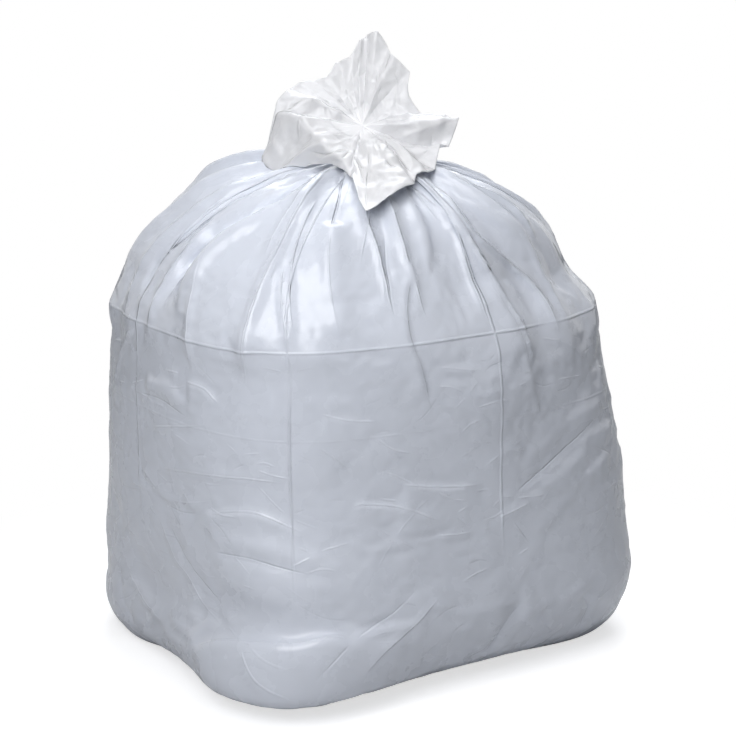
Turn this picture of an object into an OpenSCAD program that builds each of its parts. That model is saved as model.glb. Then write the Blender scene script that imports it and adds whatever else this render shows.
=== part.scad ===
// A filled white bin bag, gathered and tied at the neck, with its mouth
// fanned out above the tie. The film and what it holds are one closed solid.
// Its surface is a stack of rings: up the outside from the floor to the rim of
// the mouth, over the rim, and down the inside to the pinch in the middle.

/* [Filled body] */
// Width of the body at its belly, along X
belly_w = 500; // [440:4:560]
// Depth of the body at its belly, along Y
belly_d = 432; // [380:4:490]
// Height of the belly, where the body is widest
belly_z = 88; // [60:2:120]
// Width of the patch that rests on the floor
foot_w = 456; // [380:4:470]
// Depth of the patch that rests on the floor
foot_d = 372; // [320:4:400]
// How far the patch on the floor lies behind the middle of the belly
foot_back = 14; // [0:1:24]
// Height at which the film starts to lean in towards the neck
shoulder_z = 350; // [300:5:380]
// Width of the body at the shoulder
shoulder_w = 480; // [400:4:520]
// Depth of the body at the shoulder
shoulder_d = 416; // [340:4:460]
// Height of the crown, where the film reaches the neck
crown_z = 520; // [470:2:540]

/* [Lean] */
// How far the contents lean to one side at the shoulder, along X
lean_x = -14; // [-24:2:24]
// How far the contents lean to one side at the shoulder, along Y
lean_y = 8; // [-24:1:24]
// How far the crown swings to one side between shoulder and neck, along X
crown_x = -6; // [-20:1:20]
// How far the crown swings to one side between shoulder and neck, along Y
crown_y = 4; // [-20:1:20]
// Place of the neck beside the middle of the belly, along X
neck_x = -26; // [-40:2:40]
// Place of the neck beside the middle of the belly, along Y
neck_y = -24; // [-40:2:40]

/* [Corners] */
// Squareness of the patch on the floor: 2 is an ellipse, 6 is nearly a box
foot_square = 4.8; // [3:0.1:6]
// Squareness of the outline at the belly
belly_square = 4.6; // [3:0.1:6]
// Squareness of the outline at the shoulder
shoulder_square = 3.2; // [2.4:0.1:4]
// How far the lower front corner bulges
corner_h = 14; // [0:1:20]
// How far the heel bulges to the left of that corner
heel_h = 9; // [0:1:16]
// How far the crown swells beside the neck, away from that corner
swell_h = 16; // [0:1:20]
// How far the crown is drawn in above the shoulder, right and left of that corner
hollow_h = 11; // [0:1:16]

/* [Gathers] */
// Number of pleats that run from the shoulder to the neck
pleats = 20; // [14:1:24]
// Height of a pleat's ridge, at its tallest
pleat_h = 6; // [3:0.5:12]
// How far the pleats reach down the wall below the shoulder
pleat_run = 70; // [30:5:110]
// Depth of the soft dents that the contents leave in the wall
dent_h = 5; // [0:0.5:8]
// How far the film stands out along the old fold that runs round the shoulder
crease_h = 5; // [0:0.5:8]
// Height of that fold above the shoulder, as a share of the crown's height
crease_share = 0.08; // [0.04:0.01:0.12]

/* [Neck] */
// Radius of the bunched film where it is tied
neck_r = 18; // [14:1:22]
// Height of the bunched neck
neck_h = 20; // [16:2:36]
// Height of the flutes in the bunched film
flute_h = 2.2; // [0.5:0.1:3]

/* [Mouth] */
// Thickness of the crumpled film above the tie
film_t = 2.4; // [1.6:0.2:4]
// Number of ruffles round the mouth
ruffles = 17; // [11:1:21]
// How far a ruffle turns the film up and down at the rim, in degrees
ruffle_tilt = 3; // [0:1:8]
// How far a crumple bends the film, in degrees
crumple_tilt = 5; // [0:1:12]

/* [Hidden] */

// Points in a ring, and rings in each stretch of the surface
columns = 144;
heel_rings = 5;
wall_rings = 6;
crown_rings = 12;
neck_rings = 2;
fan_rings = 7;

neck_top_z = crown_z + neck_h;
// Height of the pinch, where the inside of the mouth closes above the tie
pinch_z = neck_top_z + 14;
// Angle through which the crown turns on its way from the wall to the neck
crown_turn = 84;
// Share of the pleats' height that they have where they cross the shoulder
shoulder_pleat = 0.5;
// Steepest that a pleat's side may be near the neck, where little room is left
pleat_slope = 0.16;
// Share of the film above the tie over which it leaves the bunched neck
tuck = 0.3;
// Columns to each side over which the film's facing is averaged
broad = 4;
// Share of the film above the tie that bends where it folds over
fold_share = 0.34;

// Azimuth on which the pleats lie flattest, and the pleats' share that is lost there
calm_side = 208;
calm_share = 0.6;
// Bulges and hollows of the body. Each row gives an azimuth and a height, how
// far it reaches in degrees and in height, and how far it stands out. The hollow
// on the right is deeper than the one on the left.
bulges = [
    [217, belly_z - 38, 34, 32, corner_h],
    [160, belly_z - 56, 30, 30, heel_h],
    [122, crown_z - 28, 45, 24, swell_h],
    [327, shoulder_z + 54, 45, 38, -1.2 * hollow_h],
    [147, shoulder_z + 44, 36, 36, -0.8 * hollow_h]
];
// How far the film stays raised above and below the fold round the shoulder
crease_up = 48;
crease_down = 26;
// Bearing of the side on which the mouth's flap lies
mouth_face = 237;

// The mouth falls into lobes: a hood at the back, a lobe that hangs over on the
// left, a pointed flap in front and a wing on the right, as seen from the front
// of the flap. Each spoke gives an azimuth, the point where its film folds over
// and the point at its rim, measured to the right, forwards and up from the pinch.
spokes = [
    [0, [26, -20, 8], [48, -30, 25]],
    [10, [22, -30, 26], [47, -38, 53]],
    [25, [18, -30, 44], [29, -42, 82]],
    [40, [10, -36, 44], [16, -46, 93]],
    [50, [4, -42, 44], [6, -54, 86]],
    [60, [-4, -34, 42], [-2, -44, 84]],
    [70, [-10, -34, 36], [-13, -44, 64]],
    [85, [-18, -28, 32], [-27, -42, 60]],
    [95, [-20, -24, 22], [-37, -36, 44]],
    [105, [-28, -20, 24], [-52, -32, 43]],
    [115, [-34, -18, 20], [-66, -28, 39]],
    [125, [-42, -10, 26], [-77, -18, 34]],
    [135, [-48, 0, 24], [-87, -10, 20]],
    [145, [-78, 0, 19], [-97, -2, -4]],
    [155, [-72, 10, 18], [-98, 8, -30]],
    [170, [-60, 20, 13], [-78, 20, -31]],
    [190, [-39, 35, -5], [-52, 28, -30]],
    [205, [-22, 50, -16], [-32, 48, -30]],
    [220, [-8, 40, -12], [-12, 70, -28]],
    [230, [-5, 58, -27], [-7, 90, -42]],
    [235, [0, 56, -22], [-3, 126, -56]],
    [240, [6, 56, -17], [4, 144, -62]],
    [250, [14, 56, -14], [31, 118, -51]],
    [260, [22, 50, -14], [50, 96, -47]],
    [275, [28, 34, -14], [54, 70, -40]],
    [285, [34, 36, -12], [65, 56, -41]],
    [295, [42, 30, -20], [74, 38, -38]],
    [310, [46, 18, -24], [78, 18, -19]],
    [320, [51, 10, -18], [88, 10, -18]],
    [330, [50, 14, 4], [98, 0, 4]],
    [340, [44, -4, 10], [85, -14, 10]],
    [350, [34, -14, 6], [60, -24, 10]],
    [360, [26, -20, 8], [48, -30, 25]]
];

// Half turn of a cosine between two values, as u goes from 0 to 1
function ease(a, b, u) = a + (b - a) * (1 - cos(180 * u)) / 2;

// Straight mix of two values or two points
function mix(a, b, u) = a + (b - a) * u;

// A vector's direction
function unit(v) = v / norm(v);

// Limits a share to the range from 0 to 1
function share(u) = min(1, max(0, u));

// How far the bulges and hollows move the surface at an azimuth and a height
function bulge(azimuth, z, i = 0) = i == len(bulges) ? 0
    : let (b = bulges[i], turn = (azimuth - b[0] + 540) % 360 - 180)
        b[4] * exp(-pow(turn / b[2], 2) - pow((z - b[1]) / b[3], 2)) + bulge(azimuth, z, i + 1);

// Distance from the axis to a rounded rectangle's edge, at one azimuth
function outline(half_w, half_d, square, azimuth) =
    pow(pow(abs(cos(azimuth)) / half_w, square)
        + pow(abs(sin(azimuth)) / half_d, square), -1 / square);

// Folded film: a triangle wave with its crests rounded off a little
function fold(phase) = asin(0.94 * sin(phase)) / 70;

// Uneven pleats: their width and height change round the neck
function pleat_phase(azimuth) = pleats * azimuth
    + 130 * sin(2 * azimuth + 30) + 75 * sin(3 * azimuth + 100);
function pleat(azimuth) = fold(pleat_phase(azimuth))
    * (0.72 + 0.28 * sin(5 * azimuth + 70))
    * (1 - calm_share * exp(-pow((azimuth - calm_side) / 42, 4)));

// Broad dents in the wall, as share of dent_h
function dent(azimuth, z) =
    0.6 * sin(3 * azimuth + 0.9 * z + 20)
    + 0.5 * sin(5 * azimuth - 0.8 * z + 140)
    + 0.3 * sin(9 * azimuth + 1.7 * z + 60);

// One ring of the body: half width, half depth, height, squareness,
// height of the pleats, and height of the dents
heel = [for (i = [0 : heel_rings - 1]) let (turn = 90 * i / heel_rings)
    [
        mix(foot_w, belly_w, sin(turn)) / 2,
        mix(foot_d, belly_d, sin(turn)) / 2,
        belly_z * pow(1 - cos(turn), 0.85),
        mix(foot_square, belly_square, i / heel_rings),
        0,
        dent_h * pow(i / heel_rings, 2)
    ]];
wall = [for (i = [0 : wall_rings - 1]) let (u = i / wall_rings,
        z = mix(belly_z, shoulder_z, u))
    [
        ease(belly_w, shoulder_w, u) / 2,
        ease(belly_d, shoulder_d, u) / 2,
        z,
        mix(belly_square, shoulder_square, u),
        pleat_h * shoulder_pleat * pow(share(1 - (shoulder_z - z) / pleat_run), 2),
        dent_h * (1 - 0.4 * u)
    ]];
crease_z = mix(shoulder_z, crown_z, crease_share);
crease_turn = asin(crease_share * sin(crown_turn));
crown = [for (i = [0, pow(crease_turn / crown_turn, 1 / 0.92) * crown_rings, each [1 : crown_rings]])
    let (u = i / crown_rings,
        turn = crown_turn * pow(u, 0.92),
        reach = (cos(turn) - cos(crown_turn)) / (1 - cos(crown_turn)))
    [
        neck_r + (shoulder_w / 2 - neck_r) * reach,
        neck_r + (shoulder_d / 2 - neck_r) * reach,
        shoulder_z + (crown_z - shoulder_z) * sin(turn) / sin(crown_turn),
        mix(2, shoulder_square, pow(reach, 0.7)),
        min(pleat_h * min(1, shoulder_pleat + 2.2 * u),
            flute_h + pleat_slope * reach * shoulder_d / 2),
        dent_h * 0.6 * (1 - u)
    ]];
neck = [for (i = [1 : neck_rings]) let (u = i / neck_rings)
    [neck_r, neck_r, mix(crown_z, neck_top_z, u), 2, flute_h, 0]];
body = concat(heel, wall, crown, neck);

// Outward slope of the body's side at a ring: [out, up], of unit length
function side_normal(i) =
    let (a = body[max(0, i - 1)], b = body[min(len(body) - 1, i + 1)],
        out = b[2] - a[2], up = (a[0] + a[1] - b[0] - b[1]) / 2,
        size = norm([out, up]))
    [out / size, up / size];

// Middle of the body at a height: it leans as the contents do, then comes
// back to the neck
function middle(z) = z < belly_z
    ? [0, ease(foot_back, 0, share(z / belly_z))]
    : z < shoulder_z
    ? ease([0, 0], [lean_x, lean_y], pow((z - belly_z) / (shoulder_z - belly_z), 0.5))
    : let (up = share((z - shoulder_z) / (crown_z - shoulder_z)))
        ease([lean_x, lean_y], [neck_x, neck_y], up * up) + sin(180 * up) * [crown_x, crown_y];

// How far the film is raised near the fold round the shoulder
function crease(z) = crease_h
    * share(z > crease_z ? 1 - (z - crease_z) / crease_up : 1 - (crease_z - z) / crease_down);

// A point of the outer surface of the body
function body_point(i, azimuth) =
    let (ring = body[i], facing = side_normal(i), at = middle(ring[2]),
        lift = ring[4] * pleat(azimuth) + ring[5] * dent(azimuth, ring[2]) + crease(ring[2])
            + bulge(azimuth, ring[2]),
        r = outline(ring[0], ring[1], ring[3], azimuth) + lift * facing[0])
    [
        at[0] + r * cos(azimuth),
        at[1] + r * sin(azimuth),
        i == 0 ? 0 : ring[2] + lift * facing[1]
    ];

// The spoke at an azimuth: the film's run to the fold, and from there to the rim
function spoke_at(azimuth) =
    let (a = azimuth % 360,
        i = [for (k = [0 : len(spokes) - 2])
            if (a >= spokes[k][0] && a < spokes[k + 1][0]) k][0],
        u = (a - spokes[i][0]) / (spokes[i + 1][0] - spokes[i][0]),
        first = mix(spokes[i][1], spokes[i + 1][1], u))
    [first, mix(spokes[i][2], spokes[i + 1][2], u) - first];

// Ruffles of the mouth, which swing the film up and down
function ruffle(azimuth) =
    fold(ruffles * azimuth + 80 * sin(2 * azimuth) + 60 * sin(3 * azimuth + 40))
    * (0.6 + 0.4 * sin(azimuth + 20));

// Crumples of the mouth, which run across the ruffles
function crumple(azimuth, s) = fold(9 * azimuth + 640 * s) * fold(5 * azimuth - 410 * s + 60);

// Direction round the mouth at an azimuth, to the right, forwards and up
function round_it(azimuth) = [cos(azimuth - mouth_face), -sin(azimuth - mouth_face), 0];

// Direction of the film at share s of its length
function film_way(azimuth, s) =
    let (spoke = spoke_at(azimuth), first = norm(spoke[0]), second = norm(spoke[1]),
        past = share((s - first / (first + second)) / fold_share + 0.5),
        along = unit(ease(spoke[0] / first, spoke[1] / second, past)),
        across = unit(cross(round_it(azimuth), along)),
        tilt = ruffle_tilt * ruffle(azimuth) + crumple_tilt * crumple(azimuth, s))
    cos(tilt) * along + sin(tilt) * across;

// Inner line of the film at one azimuth, from the pinch, step by step
function film_line(azimuth, i = 0, at = [0, 0, 0]) =
    let (spoke = spoke_at(azimuth), step = (norm(spoke[0]) + norm(spoke[1])) / fan_rings,
        next = at + step * film_way(azimuth, (i + 0.5) / fan_rings))
    i == fan_rings ? [at] : concat([at], film_line(azimuth, i + 1, next));

// Turns a point that is measured to the right, forwards and up from the pinch
function from_pinch(p) = [
    neck_x - p[0] * sin(mouth_face) + p[1] * cos(mouth_face),
    neck_y + p[0] * cos(mouth_face) + p[1] * sin(mouth_face),
    pinch_z + p[2]
];

// The bag: film, contents and fanned mouth
module bag() {
    outer = [for (i = [0 : len(body) - 1]) [for (c = [0 : columns - 1])
        body_point(i, 360 * c / columns)]];
    azimuths = [for (c = [0 : columns - 1]) 360 * c / columns];
    lines = [for (a = azimuths) film_line(a)];
    inner = [for (i = [0 : fan_rings]) [for (c = [0 : columns - 1]) from_pinch(lines[c][i])]];
    // The outside of the film grows out of the bunched neck
    fan = [for (i = [1 : fan_rings]) [for (c = [0 : columns - 1])
        let (around = inner[i][(c + broad) % columns] - inner[i][(c + columns - broad) % columns],
            along = inner[min(i + 1, fan_rings)][c] - inner[i - 1][c],
            back = film_t * unit(cross(around, along)),
            root = [neck_x + neck_r * cos(azimuths[c]), neck_y + neck_r * sin(azimuths[c]), neck_top_z])
        ease(root, inner[i][c] + back, share(i / fan_rings / tuck))]];
    lining = [for (i = [fan_rings : -1 : 1]) inner[i]];
    rings = concat(outer, fan, lining);
    count = len(rings);
    floor_centre = count * columns;
    pinch = floor_centre + 1;
    points = concat([for (ring = rings) each ring], [[0, foot_back, 0], [neck_x, neck_y, pinch_z]]);
    sides = [for (i = [0 : count - 2], c = [0 : columns - 1])
        let (d = (c + 1) % columns, a = i * columns, b = a + columns)
        each [[a + c, b + c, b + d], [a + c, b + d, a + d]]];
    floor_faces = [for (c = [0 : columns - 1])
        [floor_centre, c, (c + 1) % columns]];
    pinch_faces = [for (c = [0 : columns - 1]) let (a = (count - 1) * columns)
        [pinch, a + (c + 1) % columns, a + c]];
    color([0.83, 0.85, 0.89])
        polyhedron(points = points, faces = concat(sides, floor_faces, pinch_faces));
}

bag();
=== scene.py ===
"""A filled white bin bag: its film, its fanned mouth, its finish and the studio it stands in."""

from math import cos, radians, sin

import bpy
import numpy as np
from bpy.props import FloatProperty, FloatVectorProperty, IntProperty
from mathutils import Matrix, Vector, noise


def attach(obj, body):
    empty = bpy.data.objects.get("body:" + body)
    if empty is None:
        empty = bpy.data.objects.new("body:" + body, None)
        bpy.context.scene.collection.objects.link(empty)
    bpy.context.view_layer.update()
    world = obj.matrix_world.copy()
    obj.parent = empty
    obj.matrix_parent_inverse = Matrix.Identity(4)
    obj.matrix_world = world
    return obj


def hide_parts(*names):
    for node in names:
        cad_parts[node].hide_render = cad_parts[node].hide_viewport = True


bl_info = {
    "name": "Filled bin bag",
    "version": (1, 0, 0),
    "blender": (4, 5, 0),
    "location": "3D View > Sidebar > Bin bag",
    "description": "Builds a filled and tied bin bag, its film finish and a plain studio",
    "category": "Add Mesh",
}

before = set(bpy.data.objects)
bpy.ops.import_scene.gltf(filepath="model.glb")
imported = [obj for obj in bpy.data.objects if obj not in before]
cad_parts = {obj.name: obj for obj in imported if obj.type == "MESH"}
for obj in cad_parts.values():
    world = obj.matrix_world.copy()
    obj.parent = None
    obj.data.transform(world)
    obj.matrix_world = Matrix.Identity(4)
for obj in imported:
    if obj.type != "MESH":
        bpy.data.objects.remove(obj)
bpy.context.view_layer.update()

# Sizes of the bag's solid in millimetres, as in the part's source
FOOT = (456, 372, 4.8)
FOOT_BACK = 14
SHOULDER_SQUARE = 3.2
BELLY_SQUARE = 4.6
NECK = (-26, -24)
NECK_R = 18
NECK_TOP = 540
PINCH = 554
LEAN = (-14, 8)
CROWN_SWING = (-6, 4)
CROWN_TURN = 84

# Sizes of the film alone, in millimetres: how far its walls are from the bag's
# axis, as a girth and as it was cut, the film from the neck to the fold line
# round the shoulder, the height in which it rolls under, where the body closes
# below the pinch, and the mouth's length, thickness and start at the neck
WALL_R = 240
CUT_R = 237
SHOULDER_LINE = 275
ROLL_HEIGHT = 26
BODY_TOP = PINCH - 6
MOUTH_LENGTH = 110
MOUTH_FILM = 0.5
MOUTH_START = NECK_TOP - 4

# What the camera and the lamps look at, in metres, and the photograph's angle:
# a bearing that is anticlockwise from the bag's right, and a height
TARGET = (0, 0, 0.291)
PHOTO_ANGLE = (-33 - 90, 14)

# Bulges and hollows of the body: azimuth and height, how far each reaches in
# degrees and in height, and how far it stands out. The last five only shape
# the film: the toe of the front corner, the wall above it in two steps, the
# right edge and the film below the right shoulder.
BULGES = [
    (217, 50, 34, 32, 14), (160, 32, 30, 30, 9), (122, 492, 45, 24, 16), (327, 404, 45, 38, -13.2),
    (147, 394, 36, 36, -8.8), (219, 28, 24, 20, 15), (221, 95, 27, 30, -9), (222, 190, 27, 85, -17),
    (275, 235, 18, 120, 12), (270, 300, 26, 42, 7),
]

# Where the film rolls under before it meets the floor: azimuth, how far that
# reaches in degrees, and by how much it is drawn in
ROLLED_UNDER = [(268, 46, 33), (182, 19, 20), (225, 18, 20)]

# Bearing of the side on which the mouth's flap lies
MOUTH_FACE = 237

# Spokes of the mouth. Each has an azimuth, the point where its film folds over
# and the point at its rim, both to the right, forwards and up from the pinch.
SPOKES = [
    (0, 26, -20, 8, 48, -30, 25), (10, 22, -30, 26, 47, -38, 53), (25, 18, -30, 40, 30, -42, 68),
    (40, 10, -36, 44, 16, -46, 91), (50, 4, -42, 44, 6, -54, 86), (60, -4, -34, 42, -2, -44, 84),
    (70, -10, -34, 36, -13, -44, 64), (85, -18, -28, 32, -27, -42, 60),
    (95, -20, -24, 22, -37, -36, 44), (105, -28, -20, 24, -52, -32, 43),
    (115, -34, -18, 20, -66, -28, 39), (125, -42, -10, 26, -77, -18, 34),
    (135, -54, -2, 26, -88, -8, 20), (145, -84, 0, 17, -98, -4, -26),
    (158, -63, 20, 9, -100, 8, -41), (172, -47, 37, -4, -82, 24, -43),
    (190, -32, 54, -17, -57, 34, -35), (205, -20, 64, -24, -30, 54, -30),
    (216, -13, 66, -27, -15, 70, -36), (230, -6, 60, -28, -8, 92, -43),
    (235, 0, 56, -22, -3, 126, -56), (240, 6, 56, -17, 4, 144, -62),
    (250, 14, 56, -14, 31, 118, -51), (260, 22, 50, -14, 50, 96, -47),
    (275, 28, 34, -14, 54, 70, -40), (285, 34, 36, -12, 65, 56, -41),
    (295, 42, 30, -20, 74, 38, -38), (310, 46, 18, -24, 78, 18, -19),
    (320, 51, 10, -18, 88, 10, -18), (330, 50, 14, 4, 98, 0, 4), (340, 44, -4, 10, 85, -14, 10),
    (350, 34, -14, 6, 60, -24, 10),
]

# Folds that the photograph shows. Each has a profile, a width and a height in
# millimetres, and the points of its line: azimuth round the bag and film length
# from the neck, in turn.
NECK_FOLDS = [
    ("valley", 11, 15, 184, 4, 200, 70, 197, 117, 191, 156, 189, 178, 186, 205, 184, 262),
    ("roll", 13, 8, 192, 20, 207, 90, 204, 130, 198, 170, 194, 215, 192, 270),
    ("ridge", 7, 6, 184, 150, 183, 190, 181, 240, 180, 285),
    ("valley", 8, 7, 176, 60, 175, 123, 174, 180, 172, 215, 173, 260),
    ("ridge", 8, 5, 168, 90, 168, 150, 166, 220, 166, 280),
    ("ridge", 9, 8, 206, 8, 213, 60, 216, 130, 217, 171, 216, 215, 214, 275, 213, 320),
    ("valley", 7, 4, 222, 40, 228, 96, 230, 150),
    ("ridge", 5, 3, 219, 100, 222, 186, 225, 270),
    ("ridge", 5, 4, 220, 190, 222, 235, 224, 275),
    ("roll", 12, 4, 229, 130, 233, 190, 236, 275),
    ("ridge", 5, 5, 236, 20, 241, 122, 246, 180, 248, 255),
    ("ridge", 6, 5, 248, 20, 252, 102, 255, 192, 257, 255),
    ("ridge", 6, 6, 272, 14, 278, 75, 278, 143, 282, 215, 287, 286, 290, 345),
    ("ridge", 5, 4, 268, 60, 277, 146, 276, 206, 276, 268),
    ("ridge", 6, 6, 283, 90, 283, 163, 297, 226, 299, 290),
    ("ridge", 6, 6, 300, 20, 308, 80, 314, 127, 310, 200),
    ("step", 7, 4, 256, 200, 252, 240, 251, 270, 253, 300, 256, 350),
    ("step", 7, 4, 281, 225, 284, 270, 287, 310, 291, 372),
    ("roll", 9, 4, 262, 40, 264, 130, 262, 215),
    ("roll", 10, 4, 290, 30, 294, 110, 304, 190),
]
WALL_FOLDS = [
    ("valley", 7, 3, 176, 348, 186, 346, 196, 354),
    ("roll", 9, 4, 177, 336, 187, 334, 196, 342),
    ("step", 8, 4, 196, 318, 202, 320, 206, 332),
    ("ridge", 5, 2, 181, 378, 191, 368, 202, 357),
    ("ridge", 5, 4, 174, 424, 181, 442, 190, 447, 203, 433),
    ("valley", 6, 4, 174, 434, 181, 452, 191, 457, 204, 444),
    ("ridge", 5, 3, 168, 450, 179, 448, 188, 450),
    ("ridge", 4, 2.5, 180, 470, 184, 496, 186, 512, 191, 525, 196, 548, 203, 558),
    ("valley", 6, 2.5, 185, 476, 189, 498, 193, 514, 198, 528, 203, 544),
    ("step", 9, 4, 197, 452, 210, 436, 217, 436, 226, 452),
    ("roll", 9, 2, 200, 470, 212, 467, 222, 472, 234, 492),
    ("valley", 8, 4, 203, 484, 214, 480, 226, 490),
    ("step", 8, 9, 196, 590, 205, 570, 216, 559, 222, 558, 229, 553, 236, 564),
    ("ridge", 4, 3, 194, 578, 198, 586, 203, 592),
    ("valley", 5, 2, 250, 520, 243, 540, 238, 549, 233, 560, 229, 574, 225, 592),
    ("ridge", 4, 1, 256, 530, 247, 558, 240, 574, 235, 590),
    ("roll", 16, -4, 192, 540, 208, 532, 224, 534),
    ("ridge", 5, 4, 212, 570, 216, 590, 222, 602),
    ("valley", 9, 9, 281, 560, 276, 584, 273, 612),
    ("roll", 9, 4, 280, 571, 289, 567, 297, 564, 303, 552),
    ("ridge", 5, 3, 276, 463, 281, 458, 286, 453),
    ("ridge", 5, 3, 277, 441, 284, 447, 291, 449),
    ("roll", 11, 3, 274, 468, 289, 452, 309, 408, 318, 398),
    ("valley", 9, 2.5, 281, 442, 296, 412, 312, 380),
    ("roll", 10, 2.5, 283, 425, 298, 386, 316, 370),
    ("roll", 9, 2.5, 282, 496, 297, 460, 308, 438, 314, 424),
    ("roll", 16, 3, 240, 362, 250, 404, 256, 440, 260, 468),
    ("roll", 14, -3, 232, 380, 242, 420, 246, 470),
    ("step", 8, 3, 236, 425, 247, 434, 258, 455),
    ("ridge", 5, 3, 184, 419, 196, 410, 212, 402, 221, 402),
    ("step", 9, 4, 248, 412, 258, 420, 272, 426),
    ("roll", 10, 3, 158, 360, 166, 352, 174, 346),
    ("ridge", 5, 3, 156, 374, 160, 330, 168, 292, 173, 282),
    ("valley", 8, 4, 157, 552, 160, 590, 166, 610),
    ("ridge", 6, 4, 161, 556, 170, 576, 181, 588),
    ("valley", 8, 7, 300, 566, 304, 590, 304, 612),
]
# Folds of the mouth that the photograph shows, from the pinch outwards
MOUTH_FOLDS = [
    ("step", 5, 4, 243, 34, 241, 70, 240, 112),
    ("ridge", 4, 3, 282, 30, 286, 66, 288, 104),
    ("valley", 5, 4, 44, 34, 46, 70, 48, 106),
    ("ridge", 5, 3, 64, 30, 62, 60, 60, 96),
    ("ridge", 4, 3, 108, 44, 122, 60, 130, 84),
    ("ridge", 4, 2, 96, 36, 112, 48, 128, 54),
    ("valley", 5, 4, 318, 26, 326, 60, 330, 100),
    ("ridge", 4, 3, 340, 40, 336, 66, 334, 100),
]


def unit(value):
    """Keeps a value between 0 and 1."""
    return np.clip(value, 0, 1)


def apart(azimuth, turn):
    """Degrees from one azimuth to another, the short way round."""
    return (azimuth - turn + 180) % 360 - 180


def close_ring(field):
    """Repeats a field's first column after its last."""
    return np.concatenate([field, field[:, :1]], 1)


def ease(a, b, u):
    """Half turn of a cosine from a to b as u goes from 0 to 1."""
    return a + (b - a) * (1 - np.cos(np.pi * unit(u))) / 2


def fold(degrees):
    """A triangle wave with its crests rounded off."""
    return np.degrees(np.arcsin(0.94 * np.sin(np.radians(degrees)))) / 70


def wave(degrees):
    """A sine wave."""
    return np.sin(np.radians(degrees))


def outline(half_w, half_d, square, azimuth):
    """Distance from the axis to a rounded rectangle's edge."""
    a = np.radians(azimuth)
    x, y = np.abs(np.cos(a) / half_w), np.abs(np.sin(a) / half_d)
    return (x ** square + y ** square) ** (-1 / square)


def middle_at(z, sizes):
    """Middle of the bag at each height: it leans, then comes back to the neck."""
    belly_z, shoulder_z, crown_z = sizes["belly_z"], sizes["shoulder_z"], sizes["crown_z"]
    foot = ease(FOOT_BACK, 0, z / belly_z)
    wall = unit((z - belly_z) / (shoulder_z - belly_z)) ** 0.5
    crown = unit((z - shoulder_z) / (crown_z - shoulder_z))
    swing = np.sin(np.pi * crown)
    x, y = (
        np.where(z < shoulder_z, ease(0, LEAN[k], wall),
                 ease(LEAN[k], NECK[k], crown ** 2) + swing * CROWN_SWING[k])
        for k in (0, 1)
    )
    low = z < belly_z
    return np.where(low, 0, x), np.where(low, foot, y)


def body_sizes():
    """The body's sizes in millimetres, from the panel."""
    film = bpy.context.scene.bag_film
    names = ("belly_w", "belly_d", "belly_z", "shoulder_w", "shoulder_d", "shoulder_z", "crown_z")
    return {name: getattr(film, name) * 1000 for name in names}


def body_rings(sizes, counts):
    """Rings of the body from the middle of the floor patch up to the pinch:
    half width, half depth, height and squareness, then the pleats' and the
    dents' shares, and the length of film from the neck."""
    base, heel, wall, crown, neck = counts
    belly_z, shoulder_z, crown_z = sizes["belly_z"], sizes["shoulder_z"], sizes["crown_z"]
    foot = np.array(FOOT[:2])
    belly = np.array([sizes["belly_w"], sizes["belly_d"]])
    shoulder = np.array([sizes["shoulder_w"], sizes["shoulder_d"]])
    rows = [[*(foot / 2 * u), 0, FOOT[2], 0, 0] for u in np.arange(base) / base]
    for u in np.arange(heel) / heel:
        turn = np.pi / 2 * u
        half = (foot + (belly - foot) * sin(turn)) / 2
        square = FOOT[2] + (BELLY_SQUARE - FOOT[2]) * u
        rows.append([*half, belly_z * (1 - cos(turn)) ** 0.85, square, 0, u * u])
    for u in np.arange(wall) / wall:
        z = belly_z + (shoulder_z - belly_z) * u
        square = BELLY_SQUARE + (SHOULDER_SQUARE - BELLY_SQUARE) * u
        pleat = 0.5 * max(0, 1 - (shoulder_z - z) / 70) ** 2
        rows.append([*(ease(belly, shoulder, u) / 2), z, square, pleat, 1 - 0.4 * u])
    end = radians(CROWN_TURN)
    for u in np.arange(crown + 1) / crown:
        turn = end * u ** 0.92
        reach = (cos(turn) - cos(end)) / (1 - cos(end))
        half = NECK_R + (shoulder / 2 - NECK_R) * reach
        z = shoulder_z + (crown_z - shoulder_z) * sin(turn) / sin(end)
        square = 2 + (SHOULDER_SQUARE - 2) * reach ** 0.7
        pleat = min(1, 0.5 + 2.2 * u, (2.2 + 0.16 * reach * shoulder[1] / 2) / 9)
        rows.append([*half, z, square, pleat, 0.6 * (1 - u)])
    for u in np.arange(1, neck + 1) / neck:
        rows.append([NECK_R, NECK_R, crown_z + (NECK_TOP - crown_z) * u, 2, 0.24, 0])
    rows.append([0, 0, BODY_TOP, 2, 0, 0])
    rings = np.array(rows, float)
    radius = (rings[:, 0] + rings[:, 1]) / 2
    run = np.append(0, np.cumsum(np.hypot(np.diff(radius), np.diff(rings[:, 2]))))
    lean_in = base + heel + wall
    down = run[lean_in + crown] - run
    down[:lean_in] = down[lean_in] + shoulder_z - rings[:lean_in, 2]
    down[:base] += FOOT[0] / 2 - radius[:base]
    return rings, down


def rest_shape(sizes, counts, columns):
    """Points of the plain body in rings and columns, its rings, and its chart:
    the azimuth of each column, the film from the neck to each ring, and the
    distance from the axis."""
    rings, down = body_rings(sizes, counts)
    azimuth = np.arange(columns) * 360 / columns
    half_w, half_d, z, square = (rings[:, k : k + 1] for k in range(4))
    r = outline(np.maximum(half_w, 1e-3), np.maximum(half_d, 1e-3), square, azimuth[None, :])
    x0, y0 = middle_at(z, sizes)
    a = np.radians(azimuth)[None, :]
    points = np.stack([x0 + r * np.cos(a), y0 + r * np.sin(a), z + 0 * r], -1)
    return points, rings, (azimuth, down, r)


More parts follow.
